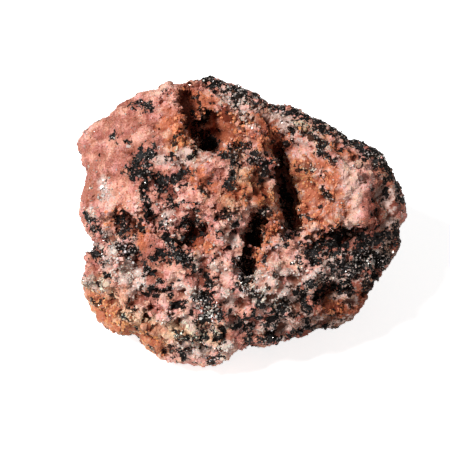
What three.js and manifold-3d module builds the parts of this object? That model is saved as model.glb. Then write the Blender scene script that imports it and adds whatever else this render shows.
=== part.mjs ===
// A hand specimen of granular pink rock with black grains, broken from its bed on every side.
// Millimetres, +Z up. It is one solid, as the real rock is: a body with ledges, hollows and crystal knobs.
//
// The rock lies on a natural break, at z = 0. Its best face leans back and looks forward and up,
// so most of it is described in the face's own coordinates:
//   right = +X,  up = up the leaning face,  out = square off the face.
// The middle of the face's outline is the centre of those coordinates.

import * as THREE from "three";
import { ImprovedNoise } from "three/addons/math/ImprovedNoise.js";
import { mergeVertices } from "three/addons/utils/BufferGeometryUtils.js";
import Module from "manifold-3d";

const wasm = await Module();
wasm.setup();

// ---- driving dimensions, mm ----
const FACE_LEAN = THREE.MathUtils.degToRad(45); // how far the face looks up from level
const FACE_CENTRE = new THREE.Vector3(0.1, -0.1, 22.6); // the face's centre in the part's frame
const FRONT_DEPTH = 19; // the bulge of the face in front of its outline
const BACK_DEPTH = 23; // the bulge of the rock behind its outline
const BODY_SPLIT = 14; // how often each edge of the starting ball is split
const FRONT_SHIFT = 0.34; // how far the ball's vertices are drawn to the front, which has the most detail
const HOLLOW_EDGE = 2.1; // the edges of the balls that cut the hollows are about this long

// The outline of the leaning face, [right, up], clockwise from the left lobe.
const OUTLINE = [
  [-33.2, 16.0], [-31.2, 19.0], [-28.8, 20.2], [-24.6, 23.2], [-22.2, 24.6], [-20.0, 26.0],
  [-16.8, 26.6], [-13.4, 27.8], [-12.4, 27.0], [-8.6, 28.6], [-5.4, 29.0], [-4.2, 28.2],
  [-0.6, 27.2], [2.8, 25.8], [5.4, 23.6], [10.6, 23.0], [14.0, 20.8], [17.4, 19.6],
  [21.2, 16.8], [26.6, 15.0], [28.6, 13.6], [29.2, 10.8], [30.4, 9.8], [32.2, 6.0],
  [32.8, 2.6], [32.2, -0.6], [31.2, -2.0], [31.0, -5.4], [28.6, -9.0], [27.0, -10.4],
  [25.4, -14.4], [24.0, -17.4], [21.4, -20.2], [17.0, -21.2], [13.6, -21.6], [12.8, -22.6],
  [9.6, -23.6], [5.4, -24.8], [-0.6, -25.2], [-2.4, -26.8], [-5.6, -28.8], [-8.0, -29.0],
  [-13.6, -28.2], [-16.2, -27.6], [-20.4, -24.0], [-23.2, -22.0], [-25.2, -22.8],
  [-29.6, -19.2], [-31.4, -16.0], [-32.0, -12.8], [-30.6, -8.0], [-29.8, -4.2],
  [-31.8, -1.6], [-32.8, 4.0], [-32.4, 6.4], [-31.0, 9.0], [-32.2, 12.2], [-31.8, 13.8],
];

// Flat breaks, each a plane that faces `normal` = [right, up, out] and stands `clear` of the outline.
const BREAKS = [
  { name: "left slab", normal: [-0.42, 0.34, 0.84], clear: 4.2 },
  { name: "dark top edge", normal: [0.34, 0.74, 0.58], clear: 1.6 },
  { name: "right block", normal: [0.30, 0.10, 0.95], clear: 5.6 },
  { name: "right cheek", normal: [0.76, 0.12, 0.64], clear: 0.3 },
  { name: "lower right", normal: [0.52, -0.62, 0.59], clear: 1.6 },
  { name: "lower slope", normal: [-0.10, -0.62, 0.78], clear: 3.6 },
  { name: "lower left", normal: [-0.66, -0.46, 0.59], clear: 2.2 },
  { name: "back", normal: [0.10, 0.52, -0.85], clear: 6.2 },
  { name: "back left", normal: [-0.74, 0.22, -0.64], clear: 1.8 },
  { name: "back right", normal: [0.62, 0.30, -0.73], clear: 2.4 },
  { name: "back low left", normal: [-0.58, -0.30, -0.76], clear: 3.4 },
  { name: "back low right", normal: [0.56, -0.38, -0.74], clear: 3.0 },
];
const BREAK_SHARPNESS = 0.86; // 1 cuts flat to the plane, 0 leaves the ball

// Broad rises and dips of the face, raised square off it. size = half widths [right, up].
const SWELLS = [
  { name: "middle boss", at: [-3.0, 6.6], size: [9.0, 9.0], rise: 3.6 },
  { name: "trough right of the boss", at: [10.4, 9.0], size: [4.6, 10.0], rise: -2.6 },
  { name: "right block's brow", at: [20.0, 9.0], size: [8.0, 7.0], rise: 1.8 },
  { name: "funnel above the crater", at: [-6.0, 21.6], size: [5.4, 5.4], rise: -4.4 },
  { name: "left shoulder", at: [-22.0, 13.0], size: [9.0, 8.0], rise: 0.8 },
  { name: "pale block", at: [-25.0, -8.6], size: [4.4, 4.0], rise: 2.6 },
  { name: "hollow left flank", at: [-25.0, -1.0], size: [5.0, 4.0], rise: -1.2 },
  { name: "lower left lump", at: [-23.0, -17.0], size: [6.0, 4.0], rise: 1.4 },
  { name: "bottom lump", at: [-9.0, -20.5], size: [8.0, 6.0], rise: 1.6 },
  { name: "pale ledge", at: [9.0, -9.0], size: [9.0, 3.6], rise: 1.8 },
  { name: "rim of the lower pocket", at: [22.0, -11.4], size: [5.0, 2.2], rise: 1.4 },
  { name: "fall under the right block", at: [27.0, -5.6], size: [6.0, 5.0], rise: -2.4 },
];

// Ledges: the rock drops square off the face on the right hand of each path, and climbs back over `reach`.
const LEDGES = [
  {
    name: "crater's lip", drop: 4.6, reach: 9.0,
    path: [[2.2, 16.0], [-3.4, 13.2], [-8.4, 12.8], [-10.6, 16.8], [-11.8, 23.4], [-12.6, 28.0]],
  },
  {
    name: "boss's cliff", drop: 7.0, reach: 11.0,
    path: [[10.0, -2.6], [7.2, 2.4], [5.2, 6.4], [5.8, 12.4], [4.6, 19.0]],
  },
  {
    name: "lower cleft's cliff", drop: 5.0, reach: 6.5,
    path: [[-1.4, -12.4], [-0.6, -5.6], [-0.6, -1.2], [1.6, 1.2], [6.8, 3.2]],
  },
  {
    name: "black vein's step", drop: 2.4, reach: 6.5,
    path: [[-17.4, -4.0], [-18.4, 3.0], [-18.8, 8.4], [-15.6, 14.4]],
  },
  {
    name: "right block's foot", drop: 3.4, reach: 7.0,
    path: [[9.6, -2.2], [19.4, -1.4], [30.0, 0.8]],
  },
  {
    name: "right block's outer edge", drop: 2.2, reach: 8.0,
    path: [[24.0, -3.0], [24.8, 3.4], [26.4, 8.4], [22.0, 15.0]],
  },
  {
    name: "pale ledge's edge", drop: 2.0, reach: 5.0,
    path: [[1.0, -20.4], [8.4, -15.4], [17.4, -10.8], [26.0, -7.2]],
  },
  {
    name: "pale block's side", drop: 2.8, reach: 4.0,
    path: [[-22.4, -12.6], [-22.0, -8.0], [-23.4, -4.4]],
  },
  {
    name: "pale block's foot", drop: 1.8, reach: 5.0,
    path: [[-33.0, -12.4], [-26.0, -13.2], [-18.6, -12.0]],
  },
  {
    name: "middle hollow's brow", drop: 2.6, reach: 5.0,
    path: [[-15.6, -0.8], [-11.0, 0.8], [-5.6, 0.4]],
  },
  {
    name: "step under the lumps", drop: 1.6, reach: 5.0,
    path: [[-21.0, -13.4], [-13.0, -12.2], [-3.0, -14.0]],
  },
  {
    name: "dark crust's step", drop: 1.6, reach: 6.0,
    path: [[1.0, 25.0], [9.0, 20.0], [18.0, 16.6], [27.0, 12.0]],
  },
];
const LEDGE_STEEPNESS = 1.1; // how far across the face a ledge takes to drop

// Hollows of the face, each cut by a roughened ball. size = half lengths [right, up, in].
// In degrees, lean turns the hollow on the face, and dip tips its bottom down behind the surface.
const FACE_HOLLOWS = [
  { name: "crater's throat", at: [-7.6, 16.4], sunk: 3.0, size: [3.9, 4.4, 9.0], lean: 12, dip: 8 },
  { name: "crater's upper flute", at: [-10.4, 22.0], sunk: 0.8, size: [1.8, 4.8, 4.2], lean: 12, dip: 12 },
  { name: "crater's right alcove", at: [-4.4, 17.4], sunk: 3.0, size: [4.6, 4.6, 5.8], lean: 20, dip: 8 },
  { name: "long cleft", at: [8.4, 6.4], sunk: 1.0, size: [1.9, 7.6, 7.0], lean: 9, dip: 0 },
  { name: "long cleft's foot", at: [9.6, 1.2], sunk: 1.0, size: [1.9, 3.4, 5.0], lean: 6, dip: 0 },
  { name: "long cleft's upper end", at: [6.8, 13.2], sunk: 0.0, size: [1.3, 2.8, 3.6], lean: 8, dip: 0 },
  { name: "lower cleft", at: [1.2, -5.4], sunk: 1.0, size: [1.9, 6.2, 6.4], lean: -8, dip: 0 },
  { name: "lower cleft's upper end", at: [2.6, -0.6], sunk: 0.8, size: [3.0, 2.2, 5.0], lean: 30, dip: 0 },
  { name: "lower pocket", at: [17.0, -14.6], sunk: 0.8, size: [4.8, 3.5, 3.5], lean: -18, dip: 0 },
  { name: "left hollow", at: [-23.0, -1.0], sunk: 0.4, size: [2.8, 3.1, 3.4], lean: -18, dip: -8 },
  { name: "middle hollow", at: [-9.0, -2.0], sunk: 0.2, size: [3.4, 1.9, 3.4], lean: 8, dip: -10 },
  { name: "middle hollow floor", at: [-10.6, -4.2], sunk: 0.6, size: [2.2, 1.4, 3.0], lean: -14, dip: -10 },
  { name: "nook under the vein", at: [-14.6, 5.4], sunk: 0.4, size: [2.6, 2.2, 2.4], lean: -30, dip: 0 },
  { name: "dark pit under the boss", at: [-3.6, 1.4], sunk: 0.0, size: [1.5, 1.3, 2.0], lean: 0, dip: 0 },
  { name: "small lower pit", at: [-18.8, -18.4], sunk: 0.0, size: [1.2, 1.5, 2.2], lean: 20, dip: 0 },
  { name: "pit by the lower cleft", at: [-3.4, -11.8], sunk: 0.0, size: [1.1, 1.0, 1.6], lean: 0, dip: 0 },
];

// The same on the back of the rock.
const BACK_HOLLOWS = [
  { name: "wide hollow", at: [12.0, 14.0], sunk: -0.4, size: [6.0, 3.2, 3.2], lean: 24, dip: 0 },
  { name: "tall hollow", at: [-17.0, 9.0], sunk: -0.2, size: [3.2, 5.4, 3.0], lean: -20, dip: 0 },
  { name: "small pit", at: [-3.0, 17.0], sunk: 0.0, size: [1.9, 1.7, 2.8], lean: 0, dip: 0 },
];

// Rows of flat-faced crystals that stand proud of the ridges and rims.
const CRYSTAL_ROWS = [
  { name: "ridge between the clefts", from: [6.4, 1.0], to: [3.4, -8.4], count: 6, radius: 2.0, sunk: 0.9 },
  { name: "boss's edge", from: [3.8, 13.6], to: [4.4, 2.6], count: 6, radius: 1.9, sunk: 1.0 },
  { name: "crater's lower lip", from: [-8.8, 10.4], to: [1.0, 12.6], count: 5, radius: 1.6, sunk: 1.0 },
  { name: "cleft's far wall", from: [12.0, 11.6], to: [12.6, 0.6], count: 6, radius: 1.8, sunk: 1.0 },
  { name: "pale block's top", from: [-27.4, -6.6], to: [-23.8, -10.4], count: 3, radius: 2.2, sunk: 1.2 },
  { name: "pale ledge's lip", from: [3.6, -10.4], to: [15.0, -10.0], count: 6, radius: 1.8, sunk: 1.0 },
  { name: "bottom lumps", from: [-19.0, -15.6], to: [-4.0, -17.6], count: 7, radius: 1.8, sunk: 1.0 },
];

// The roughness of the broken rock, from broad lumps down to the crystals: how far apart and how high.
const ROUGHNESS = [
  { form: "lumps", apart: 11.0, height: 1.6 },
  { form: "crags", apart: 7.5, height: 1.9 },
  { form: "knobs", apart: 4.2, height: 1.5 },
  { form: "knobs", apart: 2.4, height: 0.8 },
];

// ---- noise ----
const improvedNoise = new ImprovedNoise();

// Smooth noise between about -1 and 1 at a place, with bumps about `apart` from each other.
function noiseAt(place, apart, seed) {
  return improvedNoise.noise(place.x / apart + seed, place.y / apart - seed, place.z / apart + 2 * seed);
}

const BUMP_FORMS = {
  lumps: (noise) => noise,
  crags: (noise) => 0.5 - 2 * Math.abs(noise), // sharp crests
  knobs: (noise) => 2 * Math.abs(noise) - 0.5, // rounded, with sharp creases between them
};

function roughnessAt(place) {
  const SEED_STEP = 3.7;
  return ROUGHNESS.reduce((sum, { form, apart, height }, i) => {
    return sum + height * BUMP_FORMS[form](noiseAt(place, apart, SEED_STEP * (i + 1)));
  }, 0);
}

// ---- the body ----
const outlineCurve = new THREE.CatmullRomCurve3(
  OUTLINE.map(([right, up]) => new THREE.Vector3(right, up, 0)),
  true,
  "centripetal",
);
const OUTLINE_STEPS = 720;
const outlinePoints = outlineCurve.getPoints(OUTLINE_STEPS);

// The outline's distance from the face's centre, looked up by angle.
const outlineByAngle = outlinePoints
  .map((p) => ({ angle: Math.atan2(p.y, p.x), radius: Math.hypot(p.x, p.y) }))
  .sort((a, b) => a.angle - b.angle);

function outlineRadius(angle) {
  const after = outlineByAngle.findIndex((knot) => knot.angle >= angle);
  const next = outlineByAngle[after < 0 ? 0 : after];
  const last = outlineByAngle[after <= 0 ? outlineByAngle.length - 1 : after - 1];
  const turn = 2 * Math.PI;
  const gap = (next.angle - last.angle + turn) % turn || turn;
  const share = ((angle - last.angle + turn) % turn) / gap;
  return THREE.MathUtils.lerp(last.radius, next.radius, share);
}

// How far the outline reaches in a direction, which a break's plane has to clear.
function outlineReach(normal) {
  return Math.max(...outlinePoints.map((p) => normal.dot(p)));
}

const breakPlanes = BREAKS.map(({ normal, clear }) => {
  const facing = new THREE.Vector3(...normal).normalize();
  return { facing, distance: outlineReach(facing) + clear };
});

function swellAt(right, up) {
  return SWELLS.reduce((sum, { at, size, rise }) => {
    const across = (right - at[0]) / size[0];
    const along = (up - at[1]) / size[1];
    return sum + rise * Math.exp(-(across * across + along * along));
  }, 0);
}

// How far the rock drops at a place because of one ledge.
function ledgeDrop({ path, drop, reach }, right, up) {
  let nearest = { away: Infinity };
  path.slice(1).forEach(([endRight, endUp], i) => {
    const [startRight, startUp] = path[i];
    const [runRight, runUp] = [endRight - startRight, endUp - startUp];
    const [offRight, offUp] = [right - startRight, up - startUp];
    const alongRun = (offRight * runRight + offUp * runUp) / (runRight ** 2 + runUp ** 2);
    const share = THREE.MathUtils.clamp(alongRun, 0, 1);
    const away = Math.hypot(offRight - share * runRight, offUp - share * runUp);
    const onLowSide = offRight * runUp - offUp * runRight > 0;
    if (away < nearest.away) nearest = { away, onLowSide, along: (i + share) / (path.length - 1) };
  });
  if (!nearest.onLowSide) return 0;
  const fallen = THREE.MathUtils.smoothstep(nearest.away, 0, LEDGE_STEEPNESS);
  const climbed = THREE.MathUtils.smoothstep(nearest.away, LEDGE_STEEPNESS, reach);
  const END_TAPER = 0.22; // share of the path over which a ledge dies out
  const taper = Math.min(1, nearest.along / END_TAPER, (1 - nearest.along) / END_TAPER);
  return drop * fallen * (1 - climbed) * taper;
}

// The relief of the face at a place: swells and ledges, along slightly wandering lines.
function reliefAt(place) {
  const WANDER = 1.3;
  const WANDER_APART = 5;
  const right = place.x + WANDER * noiseAt(place, WANDER_APART, 11.3);
  const up = place.y + WANDER * noiseAt(place, WANDER_APART, 17.9);
  const drops = LEDGES.reduce((sum, ledge) => sum + ledgeDrop(ledge, right, up), 0);
  return swellAt(right, up) - drops;
}

// The left slab is finer-grained than the rest, so it broke smoother.
function coarseness(place) {
  const SLAB_SMOOTHNESS = 0.4;
  const leftOfVein = THREE.MathUtils.smoothstep(-place.x, 14, 20);
  const aboveHollow = THREE.MathUtils.smoothstep(place.y, 2, 8);
  return place.z > 0 ? 1 - SLAB_SMOOTHNESS * leftOfVein * aboveHollow : 1;
}

// Where a point of the unit ball goes on the rock, in the face's coordinates.
function bodyPoint(ball) {
  const OUTLINE_FULLNESS = 0.9; // under 1 squares the rock's shoulders
  const DEPTH_FULLNESS = 0.72;
  const RIM_WIDTH = 0.4; // relief dies out over this much of the ball, so the outline keeps its shape
  const RIM_ROUGHNESS = 0.2;
  const at = ball.clone().add(new THREE.Vector3(0, 0, FRONT_SHIFT)).normalize();
  const angle = Math.atan2(at.y, at.x);
  const spread = outlineRadius(angle) * Math.hypot(at.x, at.y) ** OUTLINE_FULLNESS;
  const depth = at.z > 0 ? FRONT_DEPTH : BACK_DEPTH;
  const place = new THREE.Vector3(
    spread * Math.cos(angle),
    spread * Math.sin(angle),
    Math.sign(at.z) * depth * Math.abs(at.z) ** DEPTH_FULLNESS,
  );
  for (const { facing, distance } of breakPlanes) {
    const beyond = place.dot(facing) - distance;
    if (beyond > 0) place.addScaledVector(facing, -beyond * BREAK_SHARPNESS);
  }
  const offRim = THREE.MathUtils.smoothstep(Math.abs(at.z), 0, RIM_WIDTH);
  const relief = at.z > 0 ? reliefAt(place) * offRim : 0;
  const bumps = roughnessAt(place) * coarseness(place) * THREE.MathUtils.lerp(RIM_ROUGHNESS, 1, offRim);
  place.addScaledVector(at, bumps);
  return place.setZ(place.z + relief);
}

// ---- solids ----
function ballGeometry(split) {
  const ball = new THREE.IcosahedronGeometry(1, split);
  return mergeVertices(ball.deleteAttribute("normal").deleteAttribute("uv"), 1e-5);
}

// Moves every vertex of a geometry to where `newPlace` says.
function reshape(geometry, newPlace) {
  const places = geometry.getAttribute("position");
  const vertex = new THREE.Vector3();
  for (let i = 0; i < places.count; i++) {
    const { x, y, z } = newPlace(vertex.fromBufferAttribute(places, i));
    places.setXYZ(i, x, y, z);
  }
  return geometry;
}

function solidOf(geometry) {
  const vertProperties = geometry.getAttribute("position").array;
  const triVerts = new Uint32Array(geometry.index.array);
  return new wasm.Manifold(new wasm.Mesh({ numProp: 3, vertProperties, triVerts }));
}

function geometryOf(solid) {
  const { vertProperties, triVerts, numProp, numVert } = solid.getMesh();
  const places = new Float32Array(numVert * 3);
  for (let i = 0; i < numVert; i++) {
    places.set(vertProperties.subarray(i * numProp, i * numProp + 3), i * 3);
  }
  const geometry = new THREE.BufferGeometry();
  geometry.setAttribute("position", new THREE.BufferAttribute(places, 3));
  geometry.setIndex(new THREE.BufferAttribute(triVerts, 1));
  return geometry;
}

const bodyGeometry = reshape(ballGeometry(BODY_SPLIT), bodyPoint);

// The depth of the uncut rock's surface at a place on its face (side 1) or on its back (side -1).
function surfaceAt([right, up], side) {
  const places = bodyGeometry.getAttribute("position");
  const point = new THREE.Vector3();
  let nearest = { away: Infinity };
  for (let i = 0; i < places.count; i++) {
    point.fromBufferAttribute(places, i);
    const away = (point.x - right) ** 2 + (point.y - up) ** 2;
    if (point.z * side > 0 && away < nearest.away) nearest = { away, depth: point.z };
  }
  return nearest.depth;
}

function hollowSolid({ at, sunk, size, lean, dip }, index, side) {
  const WALL_ROUGHNESS = 0.34; // of the hollow's own size
  const WALL_BUMPS = 0.7; // of the hollow's own size
  const turn = new THREE.Euler(THREE.MathUtils.degToRad(-dip), 0, THREE.MathUtils.degToRad(lean));
  const centre = new THREE.Vector3(...at, surfaceAt(at, side) - side * sunk);
  const halfLengths = new THREE.Vector3(...size);
  const split = Math.floor(Math.max(...size) / HOLLOW_EDGE);
  const cutter = reshape(ballGeometry(split), (ball) => {
    const rough = 1 + WALL_ROUGHNESS * noiseAt(ball, WALL_BUMPS, side * (index + 0.5));
    return ball.clone().multiply(halfLengths).multiplyScalar(rough).applyEuler(turn).add(centre);
  });
  return solidOf(cutter);
}

// A blunt crystal with flat faces, each corner pushed in or out a little.
function crystalSolid(place, radius, seed) {
  const CORNER_SPREAD = 0.7;
  const CORNER_BUMPS = 0.8;
  const turn = new THREE.Euler(seed, 2 * seed, 3 * seed);
  const crystal = reshape(ballGeometry(0), (corner) => {
    const reach = radius * (1 + CORNER_SPREAD * noiseAt(corner, CORNER_BUMPS, seed));
    return corner.clone().multiplyScalar(reach).applyEuler(turn).add(place);
  });
  return solidOf(crystal);
}

// One row of crystals along a line on the face, of uneven sizes, staggered to both sides of the line.
function crystalRow({ from, to, count, radius, sunk }, row) {
  const start = new THREE.Vector2(...from);
  const line = new THREE.Vector2(...to).sub(start);
  const across = new THREE.Vector2(-line.y, line.x).normalize();
  return Array.from({ length: count }, (_, i) => {
    const seed = row * 10 + i + 0.5;
    const stagger = 0.5 * radius * (i % 2 ? 1 : -1);
    const spot = start.clone().addScaledVector(line, i / (count - 1)).addScaledVector(across, stagger);
    const size = radius * THREE.MathUtils.lerp(0.75, 1.25, Math.abs(Math.sin(2.3 * seed)));
    return crystalSolid(new THREE.Vector3(...spot, surfaceAt([...spot], 1) - sunk), size, seed);
  });
}

function cutAndCrusted() {
  const cutters = [
    ...FACE_HOLLOWS.map((hollow, i) => hollowSolid(hollow, i, 1)),
    ...BACK_HOLLOWS.map((hollow, i) => hollowSolid(hollow, i, -1)),
  ];
  const cut = cutters.reduce((rock, cutter) => rock.subtract(cutter), solidOf(bodyGeometry));
  return CRYSTAL_ROWS.flatMap(crystalRow).reduce((rock, crystal) => rock.add(crystal), cut);
}

// ---- into the part's frame, with the resting break cut flat ----
const faceToPart = new THREE.Matrix4()
  .makeBasis(
    new THREE.Vector3(1, 0, 0),
    new THREE.Vector3(0, Math.sin(FACE_LEAN), Math.cos(FACE_LEAN)),
    new THREE.Vector3(0, -Math.cos(FACE_LEAN), Math.sin(FACE_LEAN)),
  )
  .setPosition(FACE_CENTRE);

function restOnBreak(rock) {
  const ROOM = 200; // the side of a block larger than the rock, standing on the floor
  const block = new THREE.BoxGeometry(ROOM, ROOM, ROOM).translate(0, 0, ROOM / 2);
  const aboveFloor = mergeVertices(block.deleteAttribute("normal").deleteAttribute("uv"));
  return solidOf(geometryOf(rock).applyMatrix4(faceToPart)).intersect(solidOf(aboveFloor));
}

const pinkRock = new THREE.MeshStandardMaterial({ color: 0xc98474, roughness: 0.75, metalness: 0 });
const specimen = new THREE.Mesh(geometryOf(restOnBreak(cutAndCrusted())), pinkRock);
specimen.name = "ephesite_rock";

const part = new THREE.Group();
part.add(specimen);

export default part;
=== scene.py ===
# %% [markdown]
# # A hand specimen of ephesite
# A broken lump of granular pink mica rock, 66 mm wide, speckled with black manganese oxide.
# Rust has stained the hollows orange, and pale mica gives it white glints.
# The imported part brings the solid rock: its outline, ledges, clefts and crater. This lesson gives
# that solid its crystals. It goes from the rock's skin, to where each mineral grows, to the grains.

# %% Load the rock's solid
import math

import bpy
import numpy as np
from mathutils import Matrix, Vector, kdtree, noise


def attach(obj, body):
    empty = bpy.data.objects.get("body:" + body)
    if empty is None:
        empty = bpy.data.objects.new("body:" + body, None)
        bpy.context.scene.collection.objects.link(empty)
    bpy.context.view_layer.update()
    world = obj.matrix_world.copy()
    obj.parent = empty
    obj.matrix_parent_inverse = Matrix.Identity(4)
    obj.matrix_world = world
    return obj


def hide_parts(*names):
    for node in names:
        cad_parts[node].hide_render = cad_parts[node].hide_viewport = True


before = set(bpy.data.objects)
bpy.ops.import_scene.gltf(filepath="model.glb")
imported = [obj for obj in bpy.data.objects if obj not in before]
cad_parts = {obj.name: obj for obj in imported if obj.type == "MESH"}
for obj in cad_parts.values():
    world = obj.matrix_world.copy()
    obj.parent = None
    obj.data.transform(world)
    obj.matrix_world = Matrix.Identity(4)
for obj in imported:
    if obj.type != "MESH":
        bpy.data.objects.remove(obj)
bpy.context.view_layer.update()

# %% [markdown]
# The rock lies on a natural break, and its best face leans back at 45 degrees. It is easier to say
# where a vein or a pit is on that leaning face than in the room, so the face has coordinates of its
# own: `right`, `up` the slope and `out` from it, in millimetres from the middle of the face.

# %% The leaning face
MM = 0.001
FACE_LEAN = math.radians(45)
FACE_CENTRE = Vector((0.0001, -0.0001, 0.0226))
FACE_RIGHT = Vector((1, 0, 0))
FACE_UP = Vector((0, math.sin(FACE_LEAN), math.cos(FACE_LEAN)))
FACE_OUT = Vector((0, -math.cos(FACE_LEAN), math.sin(FACE_LEAN)))


def on_face(places):
    """Turns places in the part's frame, an array in metres, into right, up and out on the face in mm."""
    axes = np.array([FACE_RIGHT, FACE_UP, FACE_OUT])
    return (places - np.array(FACE_CENTRE)) @ axes.T / MM


print("the face looks towards", FACE_OUT.to_tuple(2))

# %% [markdown]
# A specimen shows best from square in front of its best face, through a long lens that keeps near
# and far crystals at their true sizes. The camera therefore looks straight down the `out` axis. It
# is set before anything is modelled, so that every later step can be judged through it.

# %% Camera
VIEW_LENS = 140
SENSOR_WIDTH = 36
VIEW_WIDTH = 0.090
AIM_RIGHT = -0.0036
AIM_UP = -0.0006


def add_object(name, data):
    """Puts a new object with this mesh, camera or light in the scene."""
    made = bpy.data.objects.new(name, data)
    bpy.context.scene.collection.objects.link(made)
    return made


camera = add_object("camera", bpy.data.cameras.new("camera"))
camera.data.lens = VIEW_LENS
camera.data.sensor_width = SENSOR_WIDTH
camera.data.clip_end = 10
view_distance = VIEW_WIDTH / SENSOR_WIDTH * VIEW_LENS
aim = FACE_CENTRE + FACE_RIGHT * AIM_RIGHT + FACE_UP * AIM_UP
camera.location = aim + FACE_OUT * view_distance
camera.rotation_euler = FACE_OUT.to_track_quat("Z", "Y").to_euler()
bpy.context.scene.camera = camera
print("camera stands off the rock by", round(view_distance, 3), "m")

# %% [markdown]
# Sparkling minerals want one main light, small enough to leave crisp dark clefts and to flash off
# the flat crystal faces. It stands to the left and a little above. More soft lights would fill the
# clefts and flatten the rock, so only a faint even sky fills the rest.

# %% Key light and sky
KEY_TOWARDS = (FACE_RIGHT * -0.47 + FACE_UP * 0.32 + FACE_OUT * 0.82).normalized()
KEY_DISTANCE = 0.60
KEY_SIZE = 0.11
KEY_WATTS = 4.8
SKY_STRENGTH = 0.20
WHITE = (1, 1, 1, 1)

key_light = add_object("key_light", bpy.data.lights.new("key_light", "AREA"))
key_light.data.size = KEY_SIZE
key_light.data.energy = KEY_WATTS
key_light.location = FACE_CENTRE + KEY_TOWARDS * KEY_DISTANCE
key_light.rotation_euler = KEY_TOWARDS.to_track_quat("Z", "Y").to_euler()

sky = bpy.data.worlds.new("studio")
sky.use_nodes = True
sky.node_tree.nodes["Background"].inputs["Color"].default_value = WHITE
sky.node_tree.nodes["Background"].inputs["Strength"].default_value = SKY_STRENGTH
bpy.context.scene.world = sky
bpy.context.scene.view_settings.view_transform = "Standard"
print("the key light stands off the rock by", KEY_DISTANCE, "m")

# %% [markdown]
# The rock lies on a pale table, which sends some light back up under it. The table isn't part of the
# object, so it is marked as stage. Under one small light a white table looks grey, and more light
# would bleach the rock. So the table glows, but only where the camera looks straight at it. A finish
# is a tree of nodes, and most nodes need plain values here and wires there: `feed` does both.

# %% The table
FLOOR_SIZE = 3.0
FLOOR_WHITE = (0.93, 0.93, 0.925, 1)
FLOOR_GLOW = 0.80


def new_material(name):
    """A fresh material, with its tree of nodes and its main shader."""
    material = bpy.data.materials.new(name)
    material.use_nodes = True
    return material, material.node_tree, material.node_tree.nodes["Principled BSDF"]


def feed(tree, sockets, values):
    """Gives sockets their values. A value may be another node's output, which is then wired in."""
    for key, value in values.items():
        if isinstance(value, bpy.types.NodeSocket):
            tree.links.new(value, sockets[key])
        else:
            sockets[key].default_value = value


def math_node(tree, operation, *values, clamp=True):
    """A sum or a product, kept between 0 and 1 unless told otherwise."""
    node = tree.nodes.new("ShaderNodeMath")
    node.operation = operation
    node.use_clamp = clamp
    feed(tree, node.inputs, dict(enumerate(values)))
    return node.outputs[0]


def deselect_all():
    """The loader leaves the solid selected, and operators act on all that is selected."""
    for chosen in list(bpy.context.selected_objects):
        chosen.select_set(False)


deselect_all()
bpy.ops.mesh.primitive_grid_add(x_subdivisions=2, y_subdivisions=2, size=FLOOR_SIZE)
floor = bpy.context.object
floor.name = "floor"
floor_paint, floor_tree, floor_shader = new_material("pale_table")
seen = floor_tree.nodes.new("ShaderNodeLightPath").outputs["Is Camera Ray"]
feed(floor_tree, floor_shader.inputs, {
    "Base Color": FLOOR_WHITE, "Roughness": 0.9, "Specular IOR Level": 0.1, "Emission Color": WHITE,
    "Emission Strength": math_node(floor_tree, "MULTIPLY", seen, FLOOR_GLOW, clamp=False),
})
floor.data.materials.append(floor_paint)
print("the table is", FLOOR_SIZE, "m wide")

# %% [markdown]
# ## The rock's skin
# The solid has the big shapes but its faces are 1 to 2 mm across, far coarser than the rock. Its
# skin could be subdivided, but subdivision keeps the long thin faces that the cuts left. A voxel
# remesh gives even, small faces everywhere instead, which every later step can push about. The
# copy's loose triangles are merged first so that the remesh sees one closed surface.

# %% An evenly meshed copy of the solid
SKIN_VOXEL = 0.00043


def make_active(piece):
    deselect_all()
    piece.select_set(True)
    bpy.context.view_layer.objects.active = piece


def finish_modifier(piece, kind, **settings):
    """Adds a modifier with its settings and applies it at once."""
    modifier = piece.modifiers.new(kind.lower(), kind)
    for setting, value in settings.items():
        setattr(modifier, setting, value)
    make_active(piece)
    bpy.ops.object.modifier_apply(modifier=modifier.name)


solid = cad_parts["ephesite_rock"]
rock_body = add_object("rock_body", solid.data.copy())
make_active(rock_body)
bpy.ops.object.mode_set(mode="EDIT")
bpy.ops.mesh.select_all(action="SELECT")
bpy.ops.mesh.remove_doubles(threshold=1e-6)
bpy.ops.object.mode_set(mode="OBJECT")
finish_modifier(rock_body, "REMESH", mode="VOXEL", voxel_size=SKIN_VOXEL)
finish_modifier(rock_body, "SMOOTH", factor=0.5, iterations=4)
print("skin faces:", len(rock_body.data.polygons))

# %% [markdown]
# Everything that grows on this rock follows its skin, so the skin's vertices are read as one array
# of places. Noise at those places stands for what chance does to a rock. A single noise has bumps
# of one size only, so most fields add a few up, each finer than the last.

# %% Read the skin and lay noise over it


def read_vectors(piece, field):
    """The place ("co") or the "normal" of every vertex of a piece, as rows of three numbers."""
    values = np.empty(len(piece.data.vertices) * 3, np.float32)
    piece.data.vertices.foreach_get(field, values)
    return values.reshape(-1, 3).astype(float)


def smooth_step(values, low, high):
    """0 up to low, 1 from high on, and an even slope without corners between them."""
    share = np.clip((values - low) / (high - low), 0, 1)
    return share * share * (3 - 2 * share)


def noise_field(places, apart, seed):
    """Smooth noise between about -1 and 1 at each place, with bumps about `apart` mm from each other."""
    offset = Vector((seed, -seed, 2 * seed))
    scale = 1 / (apart * MM)
    return np.array([noise.noise(Vector(place) * scale + offset) for place in places])


def share_of(values):
    """The mean of some values, or the share of places where something is true, in two decimals."""
    return round(float(np.mean(values)), 2)


def layered_noise(places, *layers, middle=0.0):
    """Adds noise fields up. Each layer gives its weight, how far apart its bumps are and its seed."""
    return sum((weight * noise_field(places, apart, seed) for weight, apart, seed in layers), middle)


print("vertices of the skin:", len(read_vectors(rock_body, "co")))

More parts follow.
